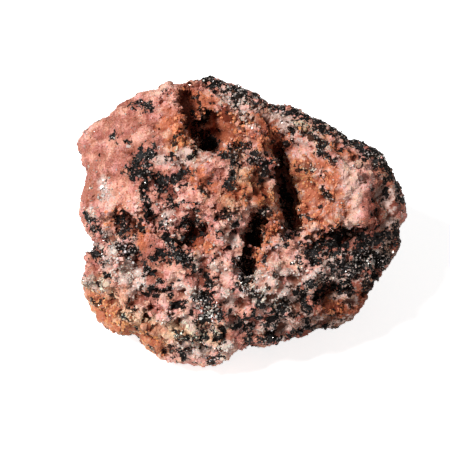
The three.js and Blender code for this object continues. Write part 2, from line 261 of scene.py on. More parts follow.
# %% [markdown]
# Veins, stains and smooth patches are all strokes on the leaning face. Each gives its name, how far
# it spreads in millimetres, and the `(right, up)` points of its line. They could be painted by hand,
# but in code each can be moved or widened on its own.

# %% Strokes on the face


def stroke_cover(strokes, right, up):
    """1 in the middle of a stroke, 0 where it ends and below 0 beyond, for the nearest stroke."""
    cover = np.full(len(right), -9.0)
    for _, spread, *line in strokes:
        for (start_right, start_up), (end_right, end_up) in zip(line, line[1:]):
            run_right, run_up = end_right - start_right, end_up - start_up
            off_right, off_up = right - start_right, up - start_up
            share = (off_right * run_right + off_up * run_up) / (run_right**2 + run_up**2)
            share = np.clip(share, 0, 1)
            away = np.hypot(off_right - share * run_right, off_up - share * run_up)
            cover = np.maximum(cover, 1 - away / spread)
    return cover


def patch_weight(patches, right, up):
    """1 over the inner half of a patch, falling to 0 at its edge."""
    return np.clip(2 * stroke_cover(patches, right, up), 0, 1)


level = ("level", 2, (0, 0), (9, 0))
print("cover 1 mm above a stroke that spreads 2 mm:", stroke_cover([level], np.array([5]), np.array([1])))

# %% [markdown]
# The rock isn't equally rough. The upper left of its face is a fine-grained slab that broke
# smoother, the cheek and the right block are worn, and the rim and the back are calmer than the
# middle. A weight map says so, and holds back whatever roughens the skin.

# %% Where the rock is coarse
SLAB_RIGHT_EDGE = -17.0
SLAB_FOOT = 3.0
SLAB_BLEND = 4.0
SLAB_COARSENESS = 0.5
RIM_COARSENESS = 0.45
BLOCK_COARSENESS = 0.5
BACK_COARSENESS = 0.7
CHEEK = ("cheek", 4.2, (28.8, 8.8), (27.6, 2.4), (28.6, -4))
RIGHT_BLOCK = ("right block", 4.4, (19.4, 10), (20.8, 6.4), (19.4, 1.8))
SMOOTH_RIMS = [
    ("pale block's left rim", 3.4, (-32.6, -4), (-32, -9)),
    ("top left rim", 3, (-18, 27), (-11, 29.6)),
]
RIM_START = 2.0
RIM_END = 9.0


def coarseness(places):
    """1 where the rock is coarse, and less on the slab, the worn blocks, the rim and the back."""
    right, up, out = on_face(places).T
    left_of_vein = smooth_step(SLAB_RIGHT_EDGE - right, -SLAB_BLEND, SLAB_BLEND)
    above_hollow = smooth_step(up - SLAB_FOOT, -SLAB_BLEND, SLAB_BLEND)
    in_front = smooth_step(out, -SLAB_BLEND, SLAB_BLEND)
    smoothness = (1 - SLAB_COARSENESS) * left_of_vein * above_hollow * in_front
    rim_smoothness = (1 - RIM_COARSENESS) * (1 - smooth_step(abs(out), RIM_START, RIM_END))
    on_block = in_front * patch_weight([CHEEK, RIGHT_BLOCK], right, up)
    on_rim = patch_weight(SMOOTH_RIMS, right, up)
    block_smoothness = (1 - BLOCK_COARSENESS) * np.maximum(on_block, on_rim)
    back_smoothness = (1 - BACK_COARSENESS) * (1 - in_front)
    return 1 - np.max([smoothness, rim_smoothness, block_smoothness, back_smoothness], axis=0)


coarse_map = rock_body.vertex_groups.new(name="coarse")
coarse_weights = coarseness(read_vectors(rock_body, "co"))
for index, weight in enumerate(coarse_weights):
    coarse_map.add([index], float(weight), "REPLACE")
print("mean coarseness:", share_of(coarse_weights))

# %% [markdown]
# Broken granular rock is rough at every size. Displacing the skin by noise at several sizes in turn
# does what sculpting would: knots of a few millimetres first, then clumps of grains, then the
# grains' own sockets. A cellular noise suits crystals, because its cells meet in creases.

# %% Push the skin out and in
SKIN_RELIEF = [
    {"name": "knots", "apart": 0.0046, "height": 0.0018, "middle": 0.58},
    {"name": "clumps", "apart": 0.0026, "height": -0.0025, "middle": 0.20},
    {"name": "grain", "apart": 0.0012, "height": -0.0008, "middle": 0.20},
]


def relief_texture(name, apart):
    """Knots are smooth swellings with sharp valleys. The rest are cells that rise from their middles."""
    if name == "knots":
        texture = bpy.data.textures.new(name, "CLOUDS")
        texture.noise_type = "HARD_NOISE"
        texture.noise_depth = 2
    else:
        texture = bpy.data.textures.new(name, "VORONOI")
        texture.weight_1 = 1.0
        texture.distance_metric = "DISTANCE_SQUARED"
    texture.noise_scale = apart
    return texture


for relief in SKIN_RELIEF:
    finish_modifier(
        rock_body, "DISPLACE", texture=relief_texture(relief["name"], relief["apart"]),
        texture_coords="LOCAL", direction="NORMAL", mid_level=relief["middle"], strength=relief["height"],
        vertex_group="coarse",
    )
finish_modifier(rock_body, "SMOOTH", factor=0.4, iterations=1)

skin_places = read_vectors(rock_body, "co")
skin_places[:, 2] = np.maximum(skin_places[:, 2], 0)
rock_body.data.vertices.foreach_set("co", skin_places.astype(np.float32).ravel())
rock_body.data.update()
print("skin reaches, mm:", np.ptp(skin_places, axis=0).round(4) / MM)

# %% [markdown]
# ## Where each mineral grows
# The finishes darken the hollows and the creases: partly a real stain, for dust, rust and damp gather
# there, and partly painted shade that deepens their shadow. So each place must know how deep it lies.
# A much smoothed copy of the skin stands for the rock's general surface, and a place that lies under
# it is in a hollow. The same trick with a lightly smoothed copy finds the small creases.

# %% Measure the hollows
HOLLOW_ROUNDS = 400
CREASE_ROUNDS = 12


def depth_below_smoothed(piece, rounds):
    """How far each vertex lies under a smoothed copy of the piece, in mm."""
    copy = add_object("smoothed", piece.data.copy())
    finish_modifier(copy, "SMOOTH", factor=0.8, iterations=rounds)
    off = read_vectors(copy, "co") - read_vectors(piece, "co")
    depth = np.einsum("ij,ij->i", off, read_vectors(copy, "normal")) / MM
    bpy.data.objects.remove(copy)
    return depth


hollow_depth = depth_below_smoothed(rock_body, HOLLOW_ROUNDS)
crease_depth = depth_below_smoothed(rock_body, CREASE_ROUNDS)
print("hollow depth, mm:", hollow_depth.min().round(2), "to", hollow_depth.max().round(2))

# %% [markdown]
# The black oxide grew as veins and clots. Noise alone would put them anywhere, so each one on the
# face is a stroke. On the upper half they run from the slab's vein on the left to the crust along
# the top. The strokes in the long cleft and in the crater's throat and arch are painted shadow:
# black laid where the rock lies in shade.

# %% Black veins of the upper face
UPPER_VEINS_AND_SHADOWS = [
    ("spot on the slab's top", 1.2, (-20.8, 22.8), (-18.8, 22.8)),
    ("slab's vein", 1.5, (-19.2, 13.4), (-21.2, 10.4), (-18.6, 9.2), (-15, 7.6)),
    ("slab's vein, below", 1, (-18.2, 8.8), (-19.4, 6.4), (-18.6, 3.4), (-18.2, 1.6)),
    ("slab's vein, right", 0.8, (-15, 7.6), (-12.6, 8), (-11, 9.4)),
    ("nook", 1.4, (-15.8, 5.8), (-14.6, 4.4)),
    ("pit under the boss", 1.2, (-3.8, 1.4), (-2.6, 0.8)),
    ("boss's top", 1.1, (-3.2, 12.4), (-1.4, 14), (0.8, 14.6)),
    ("boss's vein", 1.2, (-3.2, 12.4), (-2, 10.4), (-2.2, 7.6)),
    ("boss's edge", 1.2, (1.4, 12.4), (3.8, 11.2), (3.8, 9.4)),
    ("top crust, left", 1.9, (-8, 28.2), (-4.2, 27.4), (-0.6, 25.4), (1.8, 24.2)),
    ("top crust", 1.6, (4.6, 23.6), (8.6, 22.4), (13.4, 20.6), (19.8, 17.2)),
    ("top crust, right", 2, (19.8, 17), (23.4, 14.6), (27.8, 13), (29.4, 11)),
    ("spots under the crust", 1, (13, 17.4), (15.2, 14.2), (17, 11.6)),
    ("right edge", 1.3, (30.6, 8.8), (31.6, 6.8), (32, 4.2)),
    ("cheek's edge", 0.6, (28.8, 8.6), (27.6, 5.2)),
    # Painted shadow: the long cleft and the crater's throat and arch are drawn black where they lie in
    # shade.
    ("long cleft", 1.1, (7, 13.4), (8.6, 5), (9.6, -0.6)),
    ("crater's throat", 1.5, (-9.2, 18.8), (-8.6, 16.6), (-6.6, 15.2)),
    ("crater's arch", 0.9, (-8, 19.6), (-6.8, 21.6), (-4.6, 22)),
    ("slab's specks", 0.6, (-25.6, 16.6), (-25, 15.6)),
    ("slab's speck", 0.6, (-22.6, 15.8), (-22, 15.2)),
    ("wall's specks, top", 0.7, (10.8, 10.6), (13.4, 10.2)),
    ("wall's specks, low", 0.6, (15.2, 6.6), (16.6, 4.4)),
    ("wall's foot speck", 0.7, (11.6, 1.4), (13, 0.6)),
]
print(len(UPPER_VEINS_AND_SHADOWS), "black strokes on the upper face")

# %% [markdown]
# Below the middle the oxide lies in a broad field on the right and in many small clots and specks. A
# clot could be a round spot, but a short bent line gives it an uneven outline.

# %% Black veins of the lower face
LOWER_VEINS_AND_SHADOWS = [
    ("middle left clot", 1.2, (-15.4, -0.4), (-14.6, -2.8), (-13, -4.2)),
    ("pale block's vein", 1, (-24, -4.4), (-21.6, -5.8), (-19, -7.2), (-18, -9.4)),
    ("left of the pale block", 1.1, (-29.6, -5.4), (-28, -6.6)),
    ("under the middle left", 1.4, (-17, -7.2), (-14.2, -6), (-11.4, -6.8)),
    ("middle hollow", 1.1, (-10.6, -3.2), (-10.2, -0.8), (-8.6, -0.4)),
    ("right block's foot", 1.6, (12.4, -7.2), (14.2, -5), (16.2, -2.4), (19.8, -1.8)),
    ("cleft's foot", 1.1, (7.6, -2.4), (10.8, -1.6)),
    ("right field", 3, (18.4, -4.6), (21.4, -5.6), (25, -4), (28.6, -3.6)),
    ("right field, below", 2.8, (19.8, -9), (23.8, -8), (27.6, -7)),
    ("right field's tail", 1.6, (25.2, -10.8), (23.4, -12.4)),
    ("lower cleft's foot", 1.2, (-1.2, -7.6), (0.6, -9.2), (-0.2, -11.8)),
    ("clot left of it", 1, (-6.8, -10.2), (-6.4, -12.8)),
    ("small lower clot", 1.1, (-17.6, -13.2), (-15, -13)),
    ("lower clot", 1, (-13.2, -16.2), (-11.2, -15.2)),
    ("big lower clot", 1.8, (-7.4, -15.4), (-6, -17.8), (-7.4, -19.4)),
    ("lower speckle", 0.9, (1.8, -13.4), (3.4, -14.8), (1.4, -18.4)),
    ("lower speckle, right", 1.5, (6.8, -16.6), (5, -19.6)),
    # Painted shadow: the pocket's brow and shade are drawn black where the pocket lies in shade.
    ("pocket's brow", 1.2, (13.6, -12.6), (15, -13.6), (17.6, -13)),
    ("pocket's shade", 1.5, (14, -15.6), (14.6, -13.4), (17.6, -12.8), (20, -12.6)),
    ("bottom speckle", 1.1, (-13.2, -21.4), (-10.6, -22.8), (-4.2, -22)),
    ("bottom left speckle", 1.1, (-14.2, -24.8), (-12, -26)),
    ("bottom tip", 1.2, (-6.6, -27.2), (-5.4, -26.4)),
    ("bottom right speckle", 1.4, (3, -22.6), (7, -23.2), (10.6, -21.8)),
    ("under the pocket", 1.1, (11.4, -20.4), (15.8, -21)),
    ("left edge", 1.2, (-30, 1), (-29.2, -1.4)),
    ("left hollow", 1.4, (-23.8, 0.8), (-23.4, -1.8), (-20.8, -1)),
    ("right of the tip", 1.2, (0, -19.6), (1.2, -23)),
    ("pocket's left side", 1.2, (10.8, -14.2), (12.2, -17.4)),
    ("lower cleft", 1.2, (3.8, 1.6), (1.4, -4.6), (0.6, -7.6)),
]
print(len(LOWER_VEINS_AND_SHADOWS), "black strokes on the lower face")

# %% [markdown]
# Rust follows water: it stains the crater, the walls of the clefts and the rock's foot. The depth of
# each place could decide where it goes, but some hollows are clean, so it is drawn as well.

# %% Rust stains
RUST_STROKES = [
    ("crater", 2.8, (-9.6, 23), (-6.6, 21.6), (-3.4, 18.8), (-2.6, 17.2)),
    ("crater's lit wall", 3.8, (-5.4, 19), (-3, 18.6), (-2.2, 16.4)),
    ("crater's left flank", 3, (-14, 19.6), (-11.6, 15.4)),
    ("right wall", 4.4, (10.4, 10), (12.8, 6.6), (12.4, 1.4)),
    ("right wall's foot", 3, (14.6, 5), (17, 1.2)),
    ("boss's golden side", 2.3, (-0.8, 6.4), (2.2, 5.4), (4.8, 4.2)),
    ("ridge between the clefts", 1.7, (6.8, 1), (4.2, -2), (2.8, -5.2), (3, -8)),
    ("middle hollow's floor", 1.6, (-9.2, -4.2), (-6.4, -4.4)),
    ("streak by the left hollow", 1.1, (-19.8, -1), (-19.4, -4.8)),
    ("lower left", 2.8, (-28.8, -15.6), (-26.2, -18.6), (-23.4, -21.4)),
    ("lower left tip", 2.2, (-20.4, -22.6), (-16.6, -24.6)),
    ("boss's red corner", 1.9, (-8.8, 9), (-7.2, 7)),
    ("pocket's floor", 2.2, (16.4, -17), (20, -15.8)),
    ("trough's top", 3, (2.6, 21.4), (5.4, 19), (7.8, 16.2)),
    ("cleft's top", 2.2, (3.8, 16.4), (6, 14)),
    ("right wall's right", 2, (15.6, 10.6), (17.2, 6.4)),
    ("under the crust", 1.1, (9.4, 18.6), (16, 16), (21.4, 12.6)),
    ("left hollow", 2.4, (-24, 0.2), (-23, -1.6)),
    ("lower right", 1.8, (22.4, -17.2), (24, -13.6)),
    ("boss's red dots", 1.1, (2.2, 10.2), (1.2, 8.2)),
]
print(len(RUST_STROKES), "rust strokes")

# %% [markdown]
# Pale mica makes the grey and cream patches: the pale block on the left, the ledge under the lower
# cleft, and the salt in the black field. One broad noise would scatter it evenly, but the real
# patches have their places.

# %% Pale mica
PALE_STROKES = [
    ("pale block", 2.9, (-25, -4.8), (-23.8, -8.4), (-21.4, -10.8)),
    ("pale block's foot", 1.5, (-30.4, -11.4), (-27.2, -12.4)),
    ("boss's left brow", 1.4, (-16.6, 12.2), (-11.6, 11.8), (-6.8, 12.8)),
    ("white spot", 1, (-15.2, 0.8), (-14.2, 2.2)),
    ("left of the lower cleft", 1.3, (-3.4, -2.6), (-1.4, -3.4)),
    ("grey ledge", 2, (1.8, -10), (5.8, -10.2), (9.4, -12)),
    ("grey ledge, right", 1.8, (9.4, -12), (13.8, -9.6), (18, -8)),
    ("under the grey ledge", 2.4, (2.6, -14.6), (5.4, -15.4), (8, -16.4)),
    ("grey slope", 2.6, (3, -13.4), (8.6, -15), (12, -18.6)),
    ("right field's salt", 1.5, (19, -7.4), (23, -8), (28, -6)),
    ("under the right block", 1.8, (14.6, -9.4), (19.6, -11.4), (24, -10.6)),
    ("pocket's rim", 1.2, (18.4, -14.2), (21.6, -15.4)),
    ("under the pocket", 1.2, (16.8, -20.2), (21.4, -19.2)),
    ("crater's right wall", 1.4, (-3.6, 25), (-1.6, 22.8), (0.6, 20.2)),
    ("right of the crater", 1.4, (6.6, 20), (11, 15.8)),
    ("slab's mica", 1.2, (-27.2, 8.4), (-26.2, 3.6)),
    ("left edge", 0.9, (-29.6, 2.2), (-28.8, 1.2)),
    ("between the lower clots", 1.4, (-3.4, -14), (-2.6, -16.6)),
    ("left of the lower clots", 1.4, (-12, -12), (-9, -14)),
    ("lower slope", 1.1, (-12, -19), (-9, -21), (0, -20)),
    ("left of the lower cleft, below", 1.5, (-8.6, -8), (-4, -9.6)),
    ("bottom", 1.6, (-12, -23.8), (-8, -25), (-3, -24.6)),
    ("bottom, right", 2, (3, -20.4), (9, -20), (14, -18.8)),
    ("cheek", 1.8, (27.6, 7), (29.6, 0)),
    ("crust's edge", 1.2, (2, 22.4), (9, 19.4), (17, 15)),
]
print(len(PALE_STROKES), "pale strokes")

# %% [markdown]
# A drawn stroke has clean edges and a vein has none. The strokes are looked up at places that noise
# has moved by about a millimetre, and a finer noise frays their edges. The back of the rock has no
# strokes: there the minerals follow broad noise, and the two blend where the rock turns away.

# %% Fray the strokes
STROKE_WANDER = 1.0
WANDER_APART = 3.1
FRAY = 0.8
BACK_START = 1.0
BACK_BLEND = 8.0

skin_right, skin_up, skin_out = on_face(skin_places).T
front = smooth_step(skin_out, BACK_START - BACK_BLEND, BACK_START)
wander_right = skin_right + STROKE_WANDER * noise_field(skin_places, WANDER_APART, 3.3)
wander_up = skin_up + STROKE_WANDER * noise_field(skin_places, WANDER_APART, 8.1)
fray = FRAY * layered_noise(skin_places, (1, 2.6, 5.7), (1.1, 1.2, 1.9), (1, 0.6, 7.9))


def mineral_amount(strokes, back_apart, back_share, seed):
    """How much of a mineral there is at each place of the skin: 0 and less is none, 1 is full."""
    drawn = np.maximum(stroke_cover(strokes, wander_right, wander_up), -1)
    broad = layered_noise(skin_places, (1, back_apart, seed), (0.5, back_apart / 2.3, -seed))
    loose = (broad - np.quantile(broad, 1 - back_share)) / np.std(broad)
    return front * drawn + (1 - front) * loose + fray


print("strokes fray by up to", round(float(fray.max()), 2), "of their spread")

# %% [markdown]
# Some of the ore is fibrous: black and pale needles that all lean one way, so it looks combed. Needles
# are too thin to model. Noise stretched along the lean looks the same: its places are squeezed
# before it is looked up.

# %% Streaks in the fibrous ore
FIBROUS_PATCHES = [
    ("right field", 6, (19, -7), (27, -4)),
    ("grey ledge", 4, (3, -11), (10, -12.5), (17, -8.5)),
    ("top crust", 4, (-4, 26), (6, 22), (18, 17), (27, 12)),
    CHEEK,
]
STREAK_LEAN = math.radians(42)
STREAK_LENGTH = 3.6
STREAK_WIDTH = 0.6
along = skin_right * math.cos(STREAK_LEAN) + skin_up * math.sin(STREAK_LEAN)
across = skin_up * math.cos(STREAK_LEAN) - skin_right * math.sin(STREAK_LEAN)
squeezed = np.column_stack([along / STREAK_LENGTH, across / STREAK_WIDTH, skin_out / STREAK_LENGTH])
streaks = noise_field(squeezed * MM, 1.0, 27.1)
streaks *= front * patch_weight(FIBROUS_PATCHES, skin_right, skin_up) / np.std(streaks)
print("streaks lie on", share_of(streaks != 0), "of the skin")

# %% [markdown]
# Now the three minerals are laid down. Single black specks lie between the veins too. They could be
# strokes, but there are hundreds, so a finer noise scatters them and the clean patches push most of
# theirs away.

# %% Lay the minerals down
BLACK_THINNING = 0.1
STREAKS_IN_BLACK = 0.3
STREAKS_IN_PALE = 0.45
SPECK_APART = 1.9
SPECK_SHARE = 0.15
CLEANING = 2.6
CLEANING_REACH = 0.6
CLEAN_PATCHES = [
    ("slab", 8, (-20, 20), (-26, 14), (-28, 6)),
    ("right wall", 4, (11.6, 11), (12.4, 1)),
    RIGHT_BLOCK,
    ("cheek", 3, (27.6, 8), (29.6, 2)),
    ("slab's foot", 4, (-28, 6), (-22, 2.6)),
    ("pale block", 3, (-23.4, -7.8), (-21.8, -10.6)),
    ("crater's lit wall", 2.6, (-3.6, 21), (-1.6, 17)),
]

black_amount = mineral_amount(UPPER_VEINS_AND_SHADOWS + LOWER_VEINS_AND_SHADOWS, back_apart=5.5, back_share=0.22, seed=21.7)
black_amount = black_amount - STREAKS_IN_BLACK * streaks - BLACK_THINNING
rust_amount = mineral_amount(RUST_STROKES, back_apart=11.0, back_share=0.30, seed=13.1)
pale_amount = mineral_amount(PALE_STROKES, back_apart=10.0, back_share=0.22, seed=31.9)
pale_amount = pale_amount + STREAKS_IN_PALE * streaks
specks = layered_noise(skin_places, (1, SPECK_APART, 17.3), (0.5, SPECK_APART / 2, 4.4))
specks = (specks - np.quantile(specks, 1 - SPECK_SHARE)) / np.std(specks)
clean_cover = np.clip(stroke_cover(CLEAN_PATCHES, skin_right, skin_up), 0, CLEANING_REACH)
specks -= CLEANING * clean_cover * front
black_amount = np.maximum(black_amount, specks)
for name, amount in (("black", black_amount), ("rust", rust_amount), ("pale", pale_amount)):
    print(name, "covers", share_of(amount > 0), "of the skin")

# %% [markdown]
# The finishes and the grains read all this from maps, one number for each vertex. Two more marks
# are drawn: ochre turns some patches golden, and painted shade darkens the faces turned from the light
# and a few walls in shadow, through the same map as the hollows. Painted images could hold the maps,
# but numbers on the vertices need no unwrapping.

# %% Write the mineral maps on the skin
OCHRE = 0.85
OCHRE_REACH = 0.4
OCHRE_PATCHES = [
    ("lower left", 4, (-28, -14.6), (-25, -18), (-18, -23)),
    ("crater's left rim", 2.4, (-13, 14.6), (-10, 13.6)),
    ("boss's right side", 2.6, (0, 8), (4, 5)),
    ("right wall", 1.6, (11.4, 10), (12.2, 8)),
    ("under the boss", 2, (-3, 4), (-1, 5)),
    ("under the crust", 1, (11, 19.4), (16, 16.4)),
    ("lower right", 2.4, (17, -20), (25, -14)),
    ("bottom", 1.8, (-14, -21), (-4, -21.4)),
]
# Painted shade: faces turned from the light and walls in shadow, darkened as in a hollow.
PAINTED_SHADE_STRENGTH = 0.85
PAINTED_SHADE_PATCHES = [
    CHEEK,
    ("lower right", 5, (12, -20), (19, -19.5), (25, -13)),
    ("boss's right side", 1.8, (2.2, 9.6), (3.4, 5)),
    ("crater's flute", 2.4, (-11.6, 25.4), (-10.4, 20)),
    ("trough's top", 2.6, (3.6, 21), (6.4, 17.6)),
]


def write_map(piece, name, values):
    """Keeps one number for each vertex of a piece, under a name that its finish can ask for."""
    values = np.asarray(values, np.float32)
    piece.data.attributes.new(name, "FLOAT", "POINT").data.foreach_set("value", values)


ochre_cover = stroke_cover(OCHRE_PATCHES, wander_right, wander_up)
painted_shade = PAINTED_SHADE_STRENGTH * front * patch_weight(PAINTED_SHADE_PATCHES, skin_right, skin_up)
black_cover = smooth_step(black_amount, 0.0, 0.3)
soot = smooth_step(black_amount, -0.9, 0.3)
skin_maps = {
    "black_amount": black_amount,
    "rust": smooth_step(rust_amount, -0.2, 0.7),
    "pale": smooth_step(pale_amount, -0.1, 0.6),
    # The hollow map: stain and painted shade in the hollows, and the painted shade patches.
    "hollow": np.maximum(smooth_step(hollow_depth, 0.3, 3.0), painted_shade),
    "crease": smooth_step(crease_depth, 0.0, 0.5),
    "ochre": OCHRE * front * np.clip(ochre_cover + OCHRE_REACH, 0, 1),
}
for name, values in skin_maps.items():
    write_map(rock_body, name, values)
    print(name, "is", share_of(values), "on average")

# %% [markdown]
# Ephesite runs from brick red to pale rose, and its tone drifts over the rock. Broad and fine noise
# give that drift, and patches make whole blocks lighter or, below 0, darker. A few patches are
# painted light and shade: the cheek and the lower right are darker as faces turned from the light,
# and the pocket's floor, the crater's lit wall and the ground between the lower clots are lighter as
# lit places. The shader could do this, but the tone also decides which grains are rose and which
# are brick.

# %% Light and dark patches
TONE_PATCHES = [
    (-0.35, ("slab", 9, (-22, 18), (-26, 10))),
    (0.85, RIGHT_BLOCK),
    # Painted shade: the cheek and the lower right are darker because they face away from the light.
    (-0.3, CHEEK),
    (-0.9, ("lower right", 5, (12, -20), (19, -19.5), (25, -13))),
    (-0.1, ("boss", 6, (-12, 9), (-6, 5))),
    (0.5, ("ridge between the clefts", 4, (6, 0), (5, -6))),
    (0.6, ("pale block", 3, (-24.2, -5.4), (-22.8, -8.6), (-21, -10.8))),
    (-0.3, ("left of the pale block", 2.4, (-29.4, -5), (-29, -9))),
    (-0.35, ("right field", 4, (19, -5.6), (28, -5))),
    (0.45, ("tip", 3, (-14, -25), (-4, -25.6))),
    (0.55, ("lower left", 3.4, (-28, -15), (-25, -19))),
    (-0.3, ("lower slope", 2.4, (-12, -17), (-7, -21.6))),
    (0.7, ("right wall by the cleft", 2.4, (9.8, 11), (10.8, 6))),
    (0.4, ("right wall's foot", 2.8, (15.4, 3.6), (18, 1.4))),
    # Painted light: lighter where the relief shades the ground between the lower clots.
    (0.4, ("between the lower clots", 4, (-14, -13), (-12, -18.5))),
    (-0.4, ("slab's left edge", 3, (-31, 10), (-30, 2))),
    (0.35, ("slab's mica", 3.5, (-25, 9), (-24.4, 2))),
    (0.35, ("crater's right rim", 3, (-2.6, 15.6), (1.6, 14), (5, 14.6))),
    (0.4, ("bottom", 4, (-20, -20), (-8, -21))),
    (-0.35, ("right of the tip", 3, (0, -19.6), (1.2, -23))),
    (0.3, ("above the grey ledge", 3, (9.6, -8), (12.6, -9.6))),
    (0.3, ("top", 2.6, (9, 20), (14, 17.6))),
    (-0.4, ("right block's corner", 2.8, (24.6, 4.6), (25.4, 0.4))),
    (0.35, ("nook's floor", 3, (-19, 3), (-17, 1))),
    (0.35, ("right of the lower speckle", 3, (4.4, -14), (7, -17))),
    (-0.55, ("under the right field", 3, (22, -9), (24, -14))),
    (-0.4, ("right block's foot", 2.6, (16, -1.6), (19.4, -4))),
    # Painted light: the pocket's lit floor.
    (1.0, ("pocket's floor", 2.6, (16, -17), (20, -15.4))),
    (-0.3, ("crater's lip", 2.4, (-8, 15), (-5, 13.6))),
    (0.4, ("crater's top right", 2.4, (-3.6, 25.4), (-0.4, 22.4), (1.6, 19.6))),
    (-0.5, ("below the middle left", 3.4, (-18.6, -7), (-16.6, -10.6))),
    (0.3, ("around the lower cleft", 4, (-7, -9), (0, -10), (6, -14))),
    (0.15, ("boss's right side", 4, (1.2, 10.6), (2.6, 4))),
    # Painted light: the crater's lit wall.
    (0.45, ("crater's lit wall", 3.4, (-3.6, 18.4), (-1.6, 18))),
    (1.0, ("right wall", 5, (10.6, 9.6), (13.4, 1))),
]
MIDDLE_TONE = 0.5
STREAKS_IN_TONE = 0.2

tone_field = layered_noise(
    skin_places, (0.5, 6.0, 2.2), (0.7, 2.2, 6.4), (0.3, 0.9, 4.1), middle=MIDDLE_TONE
)
tone_field += STREAKS_IN_TONE * streaks
for lighter, patch in TONE_PATCHES:
    tone_field += lighter * front * patch_weight([patch], skin_right, skin_up)
write_map(rock_body, "tint", np.clip(tone_field, 0, 1))
print("light share of the skin:", share_of(tone_field > MIDDLE_TONE))

# %% [markdown]
# ## The grains
# The rock's look from a step away is its grains: flat-sided crystals that all catch the light
# differently. A bump map can't do this, since grains overlap and show their sides. So a few crystals
# are modelled once, and thousands of turned and stretched copies are set in the skin. The largest
# are chips, up to about a millimetre across: cubes with a corner or two cut off flat.

# %% Model the chips
CRYSTAL_SEED = 4
CHIP_CUTS = (1, 1, 2)
CHIP_REACH = 0.42
crystal_draw = np.random.default_rng(CRYSTAL_SEED)


def take_shape(model):
    """A model's corners and faces as plain arrays. The model itself is then put away."""
    corners = read_vectors(model, "co")
    faces = [list(face.vertices) for face in model.data.polygons]
    print(model.name, "with", len(faces), "faces,", sum(len(face) - 2 for face in faces), "triangles")
    bpy.data.objects.remove(model)
    return {"corners": corners, "faces": faces}


def model_chip(cuts):
    """A cube whose corners are cut off by a few planes, as cleavage cuts a grain."""
    deselect_all()
    bpy.ops.mesh.primitive_cube_add(size=1)
    chip = bpy.context.object
    chip.name = "chip"
    bpy.ops.object.mode_set(mode="EDIT")
    for _ in range(cuts):
        facing = Vector(crystal_draw.normal(size=3)).normalized()
        bpy.ops.mesh.select_all(action="SELECT")
        bpy.ops.mesh.bisect(plane_co=facing * CHIP_REACH, plane_no=facing, use_fill=True, clear_outer=True)
    bpy.ops.mesh.select_all(action="SELECT")
    bpy.ops.mesh.remove_doubles(threshold=0.02)
    bpy.ops.mesh.normals_make_consistent(inside=False)
    bpy.ops.object.mode_set(mode="OBJECT")
    return chip


chip_shapes = [take_shape(model_chip(cuts)) for cuts in CHIP_CUTS]

# %% [markdown]
# Between the chips lie the fines, about 0.4 mm across. Small chips would be truer in shape, but there
# are so many fines that each may have only 6 to 8 triangles. So they are uneven prisms and
# pyramids. A mica flake is a thin five-sided plate.

# %% Model the fines and the flakes
PRISM_TAPERS = (0.5, 0.8, 1.0)
PYRAMID_TAPERS = (0.0, 0.0)
FINE_RADIUS = 0.62


def model_splinter(sides, taper):
    """A short prism with uneven corners, the shape with the fewest faces that still sparkles."""
    deselect_all()
    bpy.ops.mesh.primitive_cone_add(
        vertices=sides, radius1=FINE_RADIUS, radius2=FINE_RADIUS * taper, depth=0.8
    )
    splinter = bpy.context.object
    splinter.name = "splinter"
    bpy.ops.object.mode_set(mode="EDIT")
    bpy.ops.mesh.select_all(action="SELECT")
    bpy.ops.transform.vertex_random(offset=0.14, seed=int(crystal_draw.integers(1000)))
    bpy.ops.object.mode_set(mode="OBJECT")
    return splinter


fine_shapes = [take_shape(model_splinter(3, taper)) for taper in PRISM_TAPERS]
fine_shapes += [take_shape(model_splinter(4, taper)) for taper in PYRAMID_TAPERS]
deselect_all()
bpy.ops.mesh.primitive_cylinder_add(vertices=5, radius=0.55, depth=0.2)
flake = bpy.context.object
flake.name = "flake"
flake_shapes = [take_shape(flake)]

# %% [markdown]
# Grains crowd together but don't share a place. Walking over the skin's vertices in a shuffled order
# and blocking those near each one taken gives seats with an even, natural crowding. The spacing
# drifts from place to place, so coarse and fine patches lie side by side, as they do in the rock.

# %% Pick the seats
GRAIN_SEED = 11
SPACING_DRIFT = 0.3
DRIFT_APART = 4.0
SLAB_SPACING = 0.75
BASE_CLEARANCE = 0.9
GRAIN_SIZES = {
    "chip": {"spacing": 1.1, "proud": (0.0, 0.3), "fill": 0.5},
    "fine": {"spacing": 0.36, "proud": (0.0, 0.35), "fill": 1.15},
}
draw = np.random.default_rng(GRAIN_SEED)


def pick_seats(places, spacing, allowed):
    """Indices of vertices that stay at least `spacing` mm apart, one distance for each vertex."""
    tree = kdtree.KDTree(len(places))
    for index, place in enumerate(places):
        tree.insert(place, index)
    tree.balance()
    taken = ~allowed
    seats = []
    for index in draw.permutation(len(places)):
        if taken[index]:
            continue
        seats.append(index)
        for _, near, _ in tree.find_range(places[index], spacing[index] * MM):
            taken[near] = True
    return np.array(seats)


above_base = skin_places[:, 2] > BASE_CLEARANCE * MM
size_drift = np.exp(SPACING_DRIFT * noise_field(skin_places, DRIFT_APART, 9.9))
size_drift = size_drift * (SLAB_SPACING + (1 - SLAB_SPACING) * coarseness(skin_places))
print("spacing drifts by a factor of", size_drift.min().round(2), "to", size_drift.max().round(2))

# %% [markdown]
# Where two minerals meet, their grains mix. Hard borders would look painted, so each seat draws
# lots: a mineral grows there if its amount plus a random share is high enough. A few pale grains are
# strewn everywhere, and more of them in the black, like salt.

# %% Choose each seat's mineral
GROWS_ABOVE = 0.15
BLACK_CROWD = 0.46
MIXING = 0.9
BLACK_DRAW = 0.5
OTHER_DRAW = 0.55
SALT_SHARE = 0.08
PALE_IN_BLACK = 0.45
WELL_BLACK = 0.2


